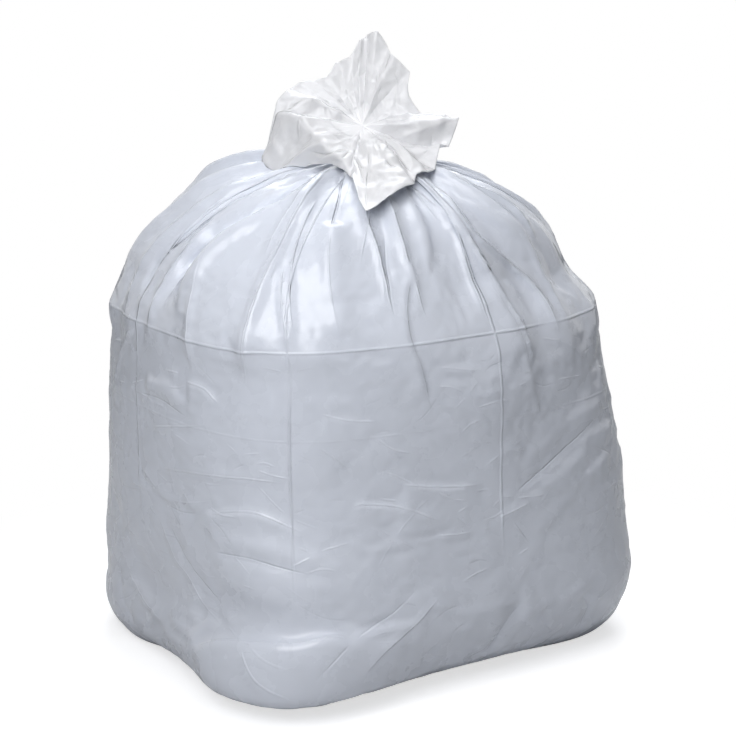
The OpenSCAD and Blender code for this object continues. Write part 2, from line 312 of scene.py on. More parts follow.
def roll_under(points, azimuth):
    """Draws the lowest part of the film in where it rolls under."""
    drawn = sum(
        depth * np.exp(-((apart(azimuth, turn) / reach) ** 4))
        for turn, reach, depth in ROLLED_UNDER)
    low = unit(1 - points[..., 2] / ROLL_HEIGHT) ** 1.4
    middle = points[..., :2] - [0, FOOT_BACK]
    span = np.linalg.norm(middle, axis=-1)
    share = low * drawn * unit(span / 180) / np.maximum(span, 1)
    points[..., :2] -= middle * share[..., None]


def outward(points):
    """Unit normals of a grid of rings and columns that closes round the columns."""
    across = np.roll(points, -1, 1) - np.roll(points, 1, 1)
    along = np.gradient(points, axis=0)
    n = np.cross(across, along)
    size = np.linalg.norm(n, axis=-1, keepdims=True)
    return n / np.maximum(size, 1e-9)


def profile(kind, d, width):
    """Height across a fold at a distance d to one side of its line."""
    x = d / width
    if kind == "ridge":
        return np.exp(-np.abs(x) ** 1.25) - 0.25 * np.exp(-np.abs(x) / 3)
    if kind == "valley":
        return -np.exp(-np.abs(x) ** 1.15) + 0.2 * np.exp(-np.abs(x) / 3)
    if kind == "step":
        return 1 / (1 + np.exp(-np.clip(x * 5, -30, 30))) * np.exp(-np.maximum(x, 0) / 3.5)
    return np.exp(-x * x)


def smooth_line(line):
    """A smooth curve through the points given, with three more points between."""
    p = np.reshape(line, (-1, 2)).astype(float)
    q = np.concatenate([[2 * p[0] - p[1]], p, [2 * p[-1] - p[-2]]])
    out = []
    for k in range(len(p) - 1):
        a, b, c, d = q[k : k + 4]
        for u in (0, 0.25, 0.5, 0.75):
            rise = c - a + u * (2 * a - 5 * b + 4 * c - d + u * (3 * (b - c) + d - a))
            out.append(b + 0.5 * u * rise)
    out.append(p[-1])
    return np.array(out)


def near_line(chart, line, reach):
    """The part of the film near a line: its rows and columns, the distance to
    one side of the line, the fading towards its ends, and the room for folds,
    which is less near the neck."""
    azimuth, down, radius = chart
    line = smooth_line(line)
    rows = np.where((down > line[:, 1].min() - reach) & (down < line[:, 1].max() + reach))[0]
    if not len(rows):
        return None
    centre = line[:, 0].mean()
    turn = apart(azimuth, centre) + centre
    spread = np.degrees(reach / max(radius[rows].min(), 20))
    cols = np.where((turn > line[:, 0].min() - spread) & (turn < line[:, 0].max() + spread))[0]
    if not len(cols):
        return None
    block = np.ix_(rows, cols)
    scale = np.radians(1) * radius[block]
    a = turn[cols][None, :]
    s = down[rows][:, None]
    best = np.full(scale.shape, 1e9)
    signed = np.full(scale.shape, 1e9)
    share = np.zeros(scale.shape)
    count = len(line) - 1
    for k in range(count):
        (a0, s0), (a1, s1) = line[k], line[k + 1]
        ex, ey = (a1 - a0) * scale, s1 - s0
        dx, dy = (a - a0) * scale, s - s0
        t = unit((dx * ex + dy * ey) / (ex * ex + ey * ey + 1e-9))
        gap = np.hypot(dx - t * ex, dy - t * ey)
        side = np.where(ex * dy - ey * dx < 0, -1, 1)
        closer = gap < best
        best = np.where(closer, gap, best)
        signed = np.where(closer, side * gap, signed)
        share = np.where(closer, (k + t) / count, share)
    fade = unit(np.minimum(share / 0.16, (1 - share) / 0.22) + 0.03)
    fade = fade * fade * (3 - 2 * fade)
    room = np.clip(scale * 57.3 / 90, 0.12, 1)
    return block, signed, fade, room


def lay_fold(lift, chart, stroke, strength=1.0):
    """Adds one fold to the lift field."""
    kind, width, height, *line = stroke
    near = near_line(chart, line, width * 5 + 6)
    if near:
        block, signed, fade, room = near
        across = profile(kind, signed, width * np.sqrt(room))
        lift[block] += strength * height * fade * room * across


def draw_line(fine, chart, line, strength):
    """Notes a sharp crease for the finish: the distance to one side of the
    nearest line, its strength, and the distances to the two nearest lines."""
    near = near_line(chart, line, 12)
    if near:
        block, signed, fade, room = near
        gap = np.abs(signed)
        reach = 7 * np.sqrt(room)
        part = unit((reach - gap) / (reach * 0.4))
        area = fine[block]
        nearer = gap < area[..., 2]
        area[..., 3] = np.where(nearer, area[..., 2], np.minimum(area[..., 3], gap))
        for k, value in ((2, gap), (0, signed), (1, strength * fade * part * np.sqrt(room))):
            area[..., k] = np.where(nearer, value, area[..., k])
        fine[block] = area


def new_lines(shape):
    """A layer of sharp creases with no line in it yet."""
    return np.zeros((*shape, 4)) + np.array([10, 0, 40, 40])


def two_layers(first, second, radius):
    """What the finish reads: distance in centimetres and strength, for two
    layers. A crease fades out where the next one in its layer is near."""
    room = np.sqrt(np.clip(radius / 90, 0.12, 1))
    out = []
    for layer in (first, second):
        apart = unit((layer[..., 3] - layer[..., 2] - 4 * room) / 4)
        out += [np.clip(layer[..., 0] / 10, -1, 1), layer[..., 1] * apart]
    return np.stack(out, -1)


def soften(field, times):
    """Blurs a field whose columns close into a ring."""
    for _ in range(times):
        field = (2 * field + np.roll(field, 1, 1) + np.roll(field, -1, 1)) / 4
        wide = np.concatenate([field[:1], field, field[-1:]])
        field = (2 * field + wide[:-2] + wide[2:]) / 4
    return field


def loose_gathers(rng, count):
    """Folds of the gathered neck that the photograph doesn't place one by one."""
    folds = []
    for i in range(count):
        azimuth = 360 * (i + rng.uniform(-0.3, 0.3)) / count
        size = (1.0, 0.45, 0.2, 0.6)[i % 4]
        reach = rng.uniform(200, 330) * size + 25
        start = rng.uniform(2, 16)
        drift = rng.uniform(-16, 16) * size
        bend = rng.uniform(-5, 5)
        line = [
            (azimuth + drift * u + bend * sin(3.1 * u), start + (reach - start) * u)
            for u in (0, 0.25, 0.5, 0.75, 1)
        ]
        turn = azimuth % 360
        calm = 0.35 if 165 < turn < 246 else 0.6 if 246 < turn < 318 else 1
        height = rng.uniform(4.5, 7) * (0.4 + 0.6 * size) * calm
        kind = ("ridge", "roll", "ridge", "valley")[rng.integers(4)]
        folds.append((kind, rng.uniform(4.5, 8) * (0.6 + 0.4 * size), height, *line))
    return folds


def short_line(rng, downs, lengths, slant, bow):
    """A short line on the walls, mostly flat or slanting and a little bowed."""
    azimuth = rng.uniform(0, 360)
    down = rng.uniform(*downs)
    length = rng.uniform(*lengths)
    slope = rng.normal(0, slant)
    half = np.degrees(length / 2 / WALL_R)
    return [
        (azimuth - half, down - slope * length / 2),
        (azimuth, down + rng.uniform(-bow, bow) * length),
        (azimuth + half, down + slope * length / 2),
    ]


def loose_wrinkles(rng, count):
    """Small wrinkles of the slack film on the walls, smaller in front."""
    folds = []
    for _ in range(count):
        line = short_line(rng, (300, 600), (18, 75), 0.45, 0.12)
        size = 0.55 if 150 < line[1][0] < 320 else 1.0
        kind = ("ridge", "valley", "step", "roll")[rng.integers(4)]
        folds.append((kind, rng.uniform(4.5, 9), rng.uniform(1.0, 3.2) * size, *line))
    return folds


def hair_lines(rng, count):
    """Hair-thin creases of the slack film, and how strong each is."""
    lines = []
    for _ in range(count):
        line = short_line(rng, (285, 620), (10, 46), 0.5, 0.15)
        lines.append((rng.choice([-1, 1]) * rng.uniform(0.15, 0.5), line))
    return lines


def cells(points, size, stretch=(1, 1, 1)):
    """Worley cells: near 0 along their borders and near 1 in their middles."""
    scaled = points * np.array(stretch) / size
    flat = scaled.reshape(-1, 3)
    out = np.empty(len(flat))
    for i, p in enumerate(flat.tolist()):
        near = noise.voronoi(p)[0]
        out[i] = near[1] - near[0]
    return np.minimum(out.reshape(points.shape[:-1]) * 1.6, 1)


def film_grid(name, points):
    """A grid of rings and columns whose last column lies on its first."""
    rings, columns = points.shape[:2]
    bpy.ops.object.select_all(action="DESELECT")
    bpy.ops.mesh.primitive_grid_add(x_subdivisions=columns, y_subdivisions=rings - 1)
    piece = bpy.context.object
    piece.name = piece.data.name = name
    piece.data.vertices.foreach_set("co", (close_ring(points) / 1000).astype(np.float32).ravel())
    return piece


def merge_seam(gap):
    """Merges the points that lie on each other and turns the faces outwards."""
    bpy.ops.object.mode_set(mode="EDIT")
    bpy.ops.mesh.select_all(action="SELECT")
    bpy.ops.mesh.remove_doubles(threshold=gap)
    bpy.ops.mesh.normals_make_consistent(inside=False)
    bpy.ops.object.mode_set(mode="OBJECT")


def settle(points, cut, hold, pressure, frames, cap):
    """Lets a grid of film settle as cloth and returns how far its points went,
    up to the cap. cut is the slacker shape the film was cut to, and hold is how
    firmly each point keeps its place, from 0 to 1."""
    rings, columns = points.shape[:2]
    film = film_grid("settling_film", points)
    tag = film.data.attributes.new("place", "INT", "POINT")
    tag.data.foreach_set("value", np.arange(rings * (columns + 1), dtype=np.int32))
    merge_seam(1e-6)
    mesh = film.data
    place = np.empty(len(mesh.vertices), np.int32)
    mesh.attributes["place"].data.foreach_get("value", place)
    held = film.vertex_groups.new(name="held")
    weights = np.round(close_ring(hold).ravel()[place], 2)
    for level in np.unique(weights):
        held.add(np.where(weights == level)[0].tolist(), float(level), "REPLACE")
    film.shape_key_add(name="start")
    slack = film.shape_key_add(name="cut")
    slack.value = 0
    loose = close_ring(cut).reshape(-1, 3)[place] / 1000
    slack.data.foreach_set("co", loose.astype(np.float32).ravel())
    cloth = film.modifiers.new("film", "CLOTH")
    for name, value in {
        "rest_shape_key": slack, "quality": 5, "mass": 0.06, "air_damping": 4,
        "tension_stiffness": 25, "compression_stiffness": 25, "shear_stiffness": 8,
        "bending_stiffness": 0.08, "tension_damping": 8, "compression_damping": 8,
        "shear_damping": 8, "bending_damping": 1, "use_pressure": True,
        "uniform_pressure_force": pressure, "vertex_group_mass": "held", "pin_stiffness": 1.2,
    }.items():
        setattr(cloth.settings, name, value)
    cloth.settings.effector_weights.gravity = 0.0
    cloth.point_cache.frame_start = 1
    cloth.point_cache.frame_end = frames
    scene = bpy.context.scene
    for f in range(1, frames + 1):
        scene.frame_set(f)
    settled = film.evaluated_get(bpy.context.evaluated_depsgraph_get()).data
    moved = np.empty(len(mesh.vertices) * 3, np.float32)
    settled.vertices.foreach_get("co", moved)
    out = close_ring(points).reshape(-1, 3)
    out[place] = moved.reshape(-1, 3) * 1000
    # Where the seam was merged only one of its two columns has moved
    kept = np.zeros(len(out), bool)
    kept[place] = True
    out = out.reshape(rings, columns + 1, 3)
    kept = kept.reshape(rings, columns + 1)
    out[:, 0] = np.where(kept[:, :1], out[:, 0], out[:, columns])
    step = out[:, :columns] - points
    size = np.linalg.norm(step, axis=-1, keepdims=True)
    step *= np.minimum(1, cap / np.maximum(size, 1e-9))
    bpy.data.objects.remove(film)
    scene.frame_set(1)
    return np.where(np.isfinite(step), step, 0)


def refine(field):
    """Doubles a field's columns, which close into a ring, and its rows."""
    wide = np.empty((field.shape[0], field.shape[1] * 2, field.shape[2]))
    wide[:, ::2] = field
    wide[:, 1::2] = (
        9 * (field + np.roll(field, -1, 1)) - np.roll(field, 1, 1) - np.roll(field, -2, 1)
    ) / 16
    tall = np.empty((field.shape[0] * 2 - 1, wide.shape[1], field.shape[2]))
    tall[::2] = wide
    ahead = np.concatenate([wide[2:], wide[-1:]])
    behind = np.concatenate([wide[:1], wide[:-2]])
    tall[1::2] = (9 * (wide[:-1] + wide[1:]) - behind - ahead) / 16
    return tall


def grid_piece(name, points, down, turn_share, fine):
    """Makes one closed mesh of rings and columns, smooth, with the film's own
    map: u runs round the bag and v along the film. fine is what the finish
    reads about the creases."""
    rings, columns = points.shape[:2]
    piece = film_grid(name, points)
    mesh = piece.data
    u = np.tile(np.append(turn_share, 1.0), (rings, 1))
    v = np.tile(down[:, None] / 1000, (1, columns + 1))
    corner = np.empty(len(mesh.loops), np.int32)
    mesh.loops.foreach_get("vertex_index", corner)
    uv = np.stack([u.ravel()[corner], v.ravel()[corner]], -1)
    mesh.uv_layers[0].name = "film"
    mesh.uv_layers["film"].data.foreach_set("uv", uv.astype(np.float32).ravel())
    around = 2 * np.pi * u
    away_0, depth_0, away_1, depth_1 = np.moveaxis(close_ring(fine), -1, 0)
    for carried, values in (
        ("film_roll", (0.25 * np.cos(around), 0.25 * np.sin(around), v)),
        ("fine_fold_0", (away_0, depth_0, np.zeros_like(v))),
        ("fine_fold_1", (away_1, depth_1, np.zeros_like(v))),
    ):
        attribute = mesh.attributes.new(carried, "FLOAT_VECTOR", "POINT")
        attribute.data.foreach_set("vector", np.stack(values, -1).astype(np.float32).ravel())
    merge_seam(2e-6)
    bpy.ops.object.shade_smooth()
    return piece


def feed(tree, made, inputs):
    """Gives a node's inputs a value each, or a link from another node's output."""
    for name, value in inputs.items():
        if isinstance(value, bpy.types.NodeSocket):
            tree.links.new(value, made.inputs[name])
        else:
            made.inputs[name].default_value = value


def node(tree, kind, x, y, inputs=None, **values):
    """Adds a shader node at a place in the tree."""
    made = tree.nodes.new("ShaderNode" + kind)
    made.location = (x, y)
    for name, value in values.items():
        setattr(made, name, value)
    feed(tree, made, inputs or {})
    return made


def calc(tree, x, y, operation, *values):
    """What a math node makes of its values."""
    return node(tree, "Math", x, y, dict(enumerate(values)), operation=operation).outputs[0]


def remap(tree, x, y, value, source, target=(0, 1), kind="LINEAR"):
    """A value moved from one range to another."""
    return node(tree, "MapRange", x, y, interpolation_type=kind, inputs={
        "Value": value, "From Min": source[0], "From Max": source[1],
        "To Min": target[0], "To Max": target[1]}).outputs["Result"]


def bump(tree, x, y, height, depth, last):
    """Relief from a height, on top of the relief before it."""
    made = node(tree, "Bump", x, y, {"Strength": 1, "Distance": depth, "Height": height})
    if last is not None:
        feed(tree, made, {"Normal": last})
    return made.outputs["Normal"]


def film_finish(piece, name, look):
    """Finishes a piece as polythene film. look gives its colour, roughness, coat,
    light through it, and how strong its relief, fold lines and creases are."""
    material = bpy.data.materials.new(name)
    material.use_nodes = True
    tree = material.node_tree
    place = node(tree, "TexCoord", -1800, 200).outputs["Object"]
    roll = node(tree, "Attribute", -1800, -200, attribute_name="film_roll").outputs["Vector"]
    # Mottling of the film's colour, a few parts in a hundred: random darker patches, a painted
    # shade of the contents behind the film
    shade = [c * look["shade"] for c in look["colour"]]
    mottle = node(tree, "TexNoise", -1200, 420, {
        "Vector": place, "Scale": 9, "Detail": 5, "Roughness": 0.6})
    tint = remap(tree, -1000, 420, mottle.outputs["Fac"], (0.3, 0.7))
    colour = node(tree, "Mix", -780, 420, data_type="RGBA", inputs={
        "Factor": tint, 6: (*shade, 1), 7: (*look["colour"], 1)})
    # Rub marks that make the satin uneven
    rub = node(tree, "TexNoise", -1200, 180, {"Vector": roll, "Scale": 30, "Detail": 4})
    rough = look["rough"]
    satin = remap(tree, -1000, 180, rub.outputs["Fac"], (0.3, 0.7), (rough - 0.07, rough + 0.07))
    # Relief, from the broadest to the finest
    last = None
    for n, (source, stretch, scale, kind, depth) in enumerate(look["relief"]):
        y = -200 - 260 * n
        mapping = node(tree, "Mapping", -1560, y, {
            "Vector": place if source == "object" else roll, "Scale": stretch})
        texture = node(tree, "TexNoise", -1340, y, noise_type=kind, inputs={
            "Vector": mapping.outputs["Vector"], "Scale": scale, "Detail": 4, "Roughness": 0.5})
        last = bump(tree, -900, y, texture.outputs["Fac"], depth, last)
    if look["creases"]:
        last = fold_lines(tree, look["creases"], last)
    last = fine_folds(tree, "fine_fold_0", look["fine"], last, -2400)
    last = fine_folds(tree, "fine_fold_1", look["fine"], last, -3000)
    feed(tree, tree.nodes["Principled BSDF"], {
        "Base Color": colour.outputs[2], "Roughness": satin, "Normal": last,
        "IOR": 1.42, "Coat Weight": look["coat"], "Coat Roughness": look["coat_rough"],
        "Subsurface Weight": look["glow"], "Subsurface Radius": (1.0, 1.0, 1.0),
        "Subsurface Scale": look["glow_depth"]})
    piece.data.materials.clear()
    piece.data.materials.append(material)


def fold_lines(tree, depth, last):
    """Lines where the flat bag was folded before use: seven run up the bag and
    end above its foot, and two go round it. They fade in and out on their way."""
    film = node(tree, "UVMap", -1800, -1600, uv_map="film")
    split = node(tree, "SeparateXYZ", -1620, -1600, {"Vector": film.outputs["UV"]})
    heights = []
    for n, (axis, count, offset, width, height) in enumerate((
        ("X", 7, -0.367, 0.010, 1.0), ("Y", 1, -0.276, 0.0022, 1.0), ("Y", 1, -0.362, 0.0018, 0.2),
    )):
        y = -1500 - 260 * n
        scaled = calc(tree, -1440, y, "MULTIPLY_ADD", split.outputs[axis], count, offset)
        away = calc(tree, -1260, y, "PINGPONG" if axis == "X" else "ABSOLUTE", scaled, 0.5)
        heights.append(remap(tree, -1080, y, away, (0, width), (height, 0), "SMOOTHSTEP"))
    low = remap(tree, -1080, -1240, split.outputs["Y"], (0.42, 0.53), (1, 0), "SMOOTHSTEP")
    upright = calc(tree, -900, -1340, "MULTIPLY", heights[0], low)
    both = calc(tree, -880, -1560, "MAXIMUM", upright, heights[1])
    all_three = calc(tree, -700, -1560, "MAXIMUM", both, heights[2])
    roll = node(tree, "Attribute", -1280, -2060, attribute_name="film_roll")
    patch = node(tree, "TexNoise", -1080, -2060, {"Vector": roll.outputs["Vector"], "Scale": 7})
    kept = remap(tree, -880, -2060, patch.outputs["Fac"], (0.3, 0.52), (0.12, 1))
    shown = calc(tree, -700, -1760, "MULTIPLY", all_three, kept)
    return bump(tree, -520, -1600, shown, depth, last)


def fine_folds(tree, layer, depth, last, y):
    """Sharp creases, from the distance to their lines that the piece carries."""
    carried = node(tree, "Attribute", -1400, y, attribute_name=layer)
    split = node(tree, "SeparateXYZ", -1220, y, {"Vector": carried.outputs["Vector"]})
    away = calc(tree, -1040, y + 100, "ABSOLUTE", split.outputs["X"])
    crest = remap(tree, -860, y + 100, away, (0, 0.16), (1, 0), "SMOOTHERSTEP")
    side = remap(tree, -860, y - 160, split.outputs["X"], (-0.12, 0.12), (0, 0.6), "SMOOTHERSTEP")
    height = calc(tree, -680, y, "ADD", crest, side)
    shown = calc(tree, -500, y, "MULTIPLY", height, split.outputs["Y"])
    return bump(tree, -320, y + 100, shown, depth, last)


def metres(name, description, default):
    """A property for a size, in metres."""
    return FloatProperty(name=name, description=description, default=default, unit="LENGTH")


def watts(name, description, default):
    """A property for a lamp's power, in watts."""
    return FloatProperty(
        name=name, description=description, default=default, min=0, unit="POWER")


def rgb(name, description, default):
    """A property for a colour."""
    return FloatVectorProperty(
        name=name, description=description, default=default, subtype="COLOR", min=0, max=1)


def amount(kind, name, description, default, most):
    """A property for a number or a share from 0 up."""
    return kind(name=name, description=description, default=default, min=0, max=most)


class BagFilm(bpy.types.PropertyGroup):
    belly_w: metres("Belly width", "Width of the bag at its belly", 0.5)
    belly_d: metres("Belly depth", "Depth of the bag at its belly", 0.432)
    belly_z: metres("Belly height", "Height of the widest place", 0.088)
    shoulder_w: metres("Shoulder width", "Width where the film leans in", 0.48)
    shoulder_d: metres("Shoulder depth", "Depth where the film leans in", 0.416)
    shoulder_z: metres("Shoulder height", "Height where the film leans in", 0.35)
    crown_z: metres("Crown height", "Height where the film meets the neck", 0.52)
    gathers: amount(IntProperty, "Gathers", "Number of loose folds round the neck", 52, 120)
    wrinkles: amount(IntProperty, "Wrinkles", "Number of loose wrinkles on the walls", 110, 400)
    hairs: amount(
        IntProperty, "Hair creases", "Number of hair-thin creases on the walls", 300, 900)
    slack: amount(
        FloatProperty, "Slack", "Share by which the film is longer than the filling", 0.03, 0.1)
    pressure: amount(
        FloatProperty, "Pressure", "How hard the filling pushes on the film", 2.0, 20)


class FilmFinish(bpy.types.PropertyGroup):
    colour: rgb("Film colour", "Colour of the filled film", (0.665, 0.70, 0.78))
    mouth_colour: rgb(
        "Mouth colour", "Colour of the loose film above the tie", (0.88, 0.88, 0.90))
    roughness: amount(
        FloatProperty, "Roughness", "Roughness of the film, from mirror to matt", 0.27, 1)


class StudioLight(bpy.types.PropertyGroup):
    key: watts("Key light", "Power of the lamp in front of the bag", 10.3)
    top: watts("Top light", "Power of the broad lamp overhead", 22)
    fill: watts("Back light", "Power of the lamp behind the bag", 30)
    surround: amount(
        FloatProperty, "Surround", "Brightness of the light from all round", 0.008, 1)
    distance: metres("Camera distance", "From the camera to the bag", 2.2)
    lens: FloatProperty(
        name="Lens", description="Focal length of the camera in millimetres", default=101, min=10)


def film_shape(sizes, counts, columns):
    """The plain body, the body with its broad folds and foot, and its chart."""
    points, rings, chart = rest_shape(sizes, counts, columns)
    shape = points + broad_lift(points, rings, chart)[..., None] * outward(points)
    roll_under(shape, chart[0])
    return points, shape, chart


def cut_shape(coarse, points, azimuth, slack):
    """The film is wider all round than its filling, and a little taller."""
    a = np.radians(azimuth)[None, :]
    spare = slack * CUT_R * np.clip((points[..., 2] - 150) / 250, 0.15, 1)
    cut = coarse.copy()
    cut[..., 0] += spare * np.cos(a)
    cut[..., 1] += spare * np.sin(a)
    cut[..., 2] *= 1.012
    return cut


def turn_share(sizes, azimuth):
    """Share of the way round the bag at each azimuth, measured along the film."""
    a = np.radians(np.append(azimuth, 360))
    half_w, half_d = sizes["shoulder_w"] / 2, sizes["shoulder_d"] / 2
    edge = outline(half_w, half_d, SHOULDER_SQUARE, np.degrees(a))
    steps = np.hypot(np.diff(edge * np.cos(a)), np.diff(edge * np.sin(a)))
    arc = np.append(0, np.cumsum(steps))
    return arc[:-1] / arc[-1]


def broad_lift(points, rings, chart):
    """Dents of the filling, the pleats and the main folds of the neck."""
    a, down, z = chart[0][None, :], chart[1][:, None], points[..., 2]
    dent = (0.6 * wave(3 * a + 0.9 * z + 20) + 0.5 * wave(5 * a - 0.8 * z + 140)
            + 0.3 * wave(9 * a + 1.7 * z + 60))
    phase = 20 * a + 130 * wave(2 * a + 30) + 75 * wave(3 * a + 100)
    pleat = fold(phase) * (0.72 + 0.28 * wave(5 * a + 70))
    calm = 1 - 0.75 * np.exp(-(((a - 208) / 42) ** 4))
    lift = 9 * rings[:, 4:5] * pleat * 0.45 * calm + 5 * rings[:, 5:6] * dent
    edge = down - SHOULDER_LINE - 3 * wave(2 * a + 50) - 2 * wave(5 * a)
    below = 26 + 70 * np.exp(-(((a - 280) / 34) ** 4))
    lift += 5 * unit(np.where(edge < 0, 1 + edge / 48, 1 - edge / below))
    for turn, height, turn_reach, height_reach, out in BULGES:
        round_it, up_it = apart(a, turn) / turn_reach, (z - height) / height_reach
        lift += out * np.exp(-(round_it ** 2) - up_it ** 2)
    for stroke in NECK_FOLDS:
        lay_fold(lift, chart, stroke, 0.8)
    for stroke in WALL_FOLDS:
        lay_fold(lift, chart, stroke, 0.3 if stroke[0] in ("step", "roll") else 0.1)
    return lift


def fine_lift(points, chart):
    """Wrinkles and creases that are too narrow for the settling film."""
    film = bpy.context.scene.bag_film
    lift = np.zeros(points.shape[:2])
    rng = np.random.default_rng(11)
    for stroke in NECK_FOLDS:
        lay_fold(lift, chart, stroke, 0.35)
    for stroke in WALL_FOLDS:
        lay_fold(lift, chart, stroke, 0.6 if stroke[0] == "step" else 0.38)
    fine, placed = new_lines(lift.shape), new_lines(lift.shape)
    for strength, line in hair_lines(rng, film.hairs):
        draw_line(fine, chart, line, strength)
    for stroke in loose_wrinkles(rng, film.wrinkles):
        lay_fold(lift, chart, stroke, 0.6)
        draw_line(fine, chart, stroke[3:], rng.uniform(0.2, 0.5))
    for stroke in loose_gathers(rng, film.gathers):
        lay_fold(lift, chart, stroke)
        draw_line(fine, chart, stroke[3:], -0.7 if stroke[0] == "valley" else 0.7)
    for folds, depths in (
        (WALL_FOLDS, {"valley": -0.6, "ridge": 0.6, "step": 0.6}),
        (NECK_FOLDS, {"valley": -1.5, "ridge": 1.1, "step": 0.4}),
    ):
        for kind, _, _, *line in folds:
            if kind in depths:
                draw_line(placed, chart, line, depths[kind])
    facets = cells(points, 62, (1, 1, 1.4)) * 0.9 + cells(points + 37, 27, (1, 1, 1.3)) * 0.45
    return lift + facets - 0.6, two_layers(placed, fine, chart[2])


class BAG_OT_filled_body(bpy.types.Operator):
    """Builds the filled body: film over soft contents, gathered into the neck"""
    bl_idname = "bag.filled_body"
    bl_label = "Filled body"

    def execute(self, context):
        film = context.scene.bag_film
        finish = context.scene.bag_finish
        sizes = body_sizes()
        counts = np.array([3, 14, 39, 50, 3])
        columns = 220
        points, coarse, chart = film_shape(sizes, counts, columns)
        coarse[..., 2] = np.maximum(coarse[..., 2], 0)
        step = np.zeros_like(points)
        loose = 0.08
        hold = np.full(points.shape[:2], loose)
        hold[: counts[0] + 2] = 1
        hold[-6:] = 1
        hold[-16:-6] = np.linspace(loose, 1, 10)[:, None]
        cut = cut_shape(coarse, points, chart[0], film.slack)
        step = settle(coarse, cut, hold, film.pressure, frames=20, cap=9)
        normal = outward(points)
        drift = soften((step * normal).sum(-1), 25)
        step -= 0.9 * drift[..., None] * normal
        step *= np.minimum(1, points[..., 2:3] / 30)
        _, base, chart = film_shape(sizes, counts * 2, columns * 2)
        base[:-1] += refine(step)[: len(base) - 1]
        lift, fine = fine_lift(base, chart)
        lift *= unit(base[..., 2] / 12)
        base += lift[..., None] * outward(base)
        base[..., 2] = np.maximum(base[..., 2], 0)
        base[0] = [0, FOOT_BACK, 0]
        base[-1] = [*NECK, BODY_TOP]
        azimuth, down, _ = chart
        piece = grid_piece("filled_body", base, down, turn_share(sizes, azimuth), fine)
        film_finish(piece, "filled film", {
            "colour": tuple(finish.colour), "shade": 0.97,
            "rough": finish.roughness, "coat": 0.25, "coat_rough": 0.09,
            "glow": 0.12, "glow_depth": 0.012, "creases": 0.0010, "fine": 0.0008,
            "relief": [
                ("film", (1, 1, 0.16), 46, "RIDGED_MULTIFRACTAL", 0.0006),
                ("film", (0.3, 0.3, 1), 60, "RIDGED_MULTIFRACTAL", 0.00045),
                ("object", (1, 1, 1), 26, "RIDGED_MULTIFRACTAL", 0.0005),
            ],
        })
        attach(piece, "root")
        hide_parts("bag")
        return {"FINISHED"}


def film_lines(azimuth, rings):
    """Film from the pinch to the rim, laid through the spokes. It folds over
    at each spoke's first point, and ruffles and crumples a little."""
    table = np.array([*SPOKES, (360, *SPOKES[0][1:])], float)
    spoke = np.stack([np.interp(azimuth, table[:, 0], table[:, k]) for k in range(1, 7)], -1)
    first, second = spoke[:, :3], spoke[:, 3:] - spoke[:, :3]
    reach, past = np.linalg.norm(first, axis=-1), np.linalg.norm(second, axis=-1)
    length = reach + past
    ruffle = fold(17 * azimuth + 80 * wave(2 * azimuth) + 60 * wave(3 * azimuth + 40)) * (
        0.6 + 0.4 * wave(azimuth + 20))
    width = np.interp(
        azimuth, (0, 122, 136, 212, 226, 360), (0.34, 0.34, 0.09, 0.09, 0.3, 0.34))
    turn = np.radians(azimuth - MOUTH_FACE)
    round_it = np.stack([np.cos(turn), -np.sin(turn), 0 * turn], -1)
    at = np.zeros_like(first)
    line = [at]
    for i in range(rings):
        s = (i + 0.5) / rings
        bend = ease(0, 1, (s - reach / length) / width + 0.5)[:, None]
        along = first / reach[:, None] * (1 - bend) + second / past[:, None] * bend
        along /= np.linalg.norm(along, axis=-1, keepdims=True)
        across = np.cross(round_it, along)
        across /= np.linalg.norm(across, axis=-1, keepdims=True)
        crumple = 5 * fold(9 * azimuth + 640 * s) * fold(5 * azimuth - 410 * s + 60)
        tilt = (np.radians(3 * ruffle + crumple) * min(1, s / 0.4))[:, None]
        at = at + (length / rings)[:, None] * (np.cos(tilt) * along + np.sin(tilt) * across)
        line.append(at)
    line = np.array(line)
    face = radians(MOUTH_FACE)
    right, forwards, up = line[..., 0], line[..., 1], line[..., 2]
    return np.stack([
        NECK[0] - right * sin(face) + forwards * cos(face),
        NECK[1] + right * cos(face) + forwards * sin(face),
        PINCH + up], -1)


def creases(rng, count):
    """Creases of the crumpled mouth: most run out from the pinch."""
    folds = []
    for i in range(count):
        azimuth = rng.uniform(0, 360)
        start = rng.uniform(20, 75)
        reach = rng.uniform(18, 50)
        drift = rng.normal(0, 14) if i % 3 else rng.normal(0, 40)
        line = [(azimuth + drift * u, start + reach * u) for u in (0, 0.5, 1)]
        kind = ("ridge", "valley", "ridge", "step")[rng.integers(4)]
        folds.append((kind, rng.uniform(2.5, 5), rng.uniform(1.0, 2.6), *line))
    return folds


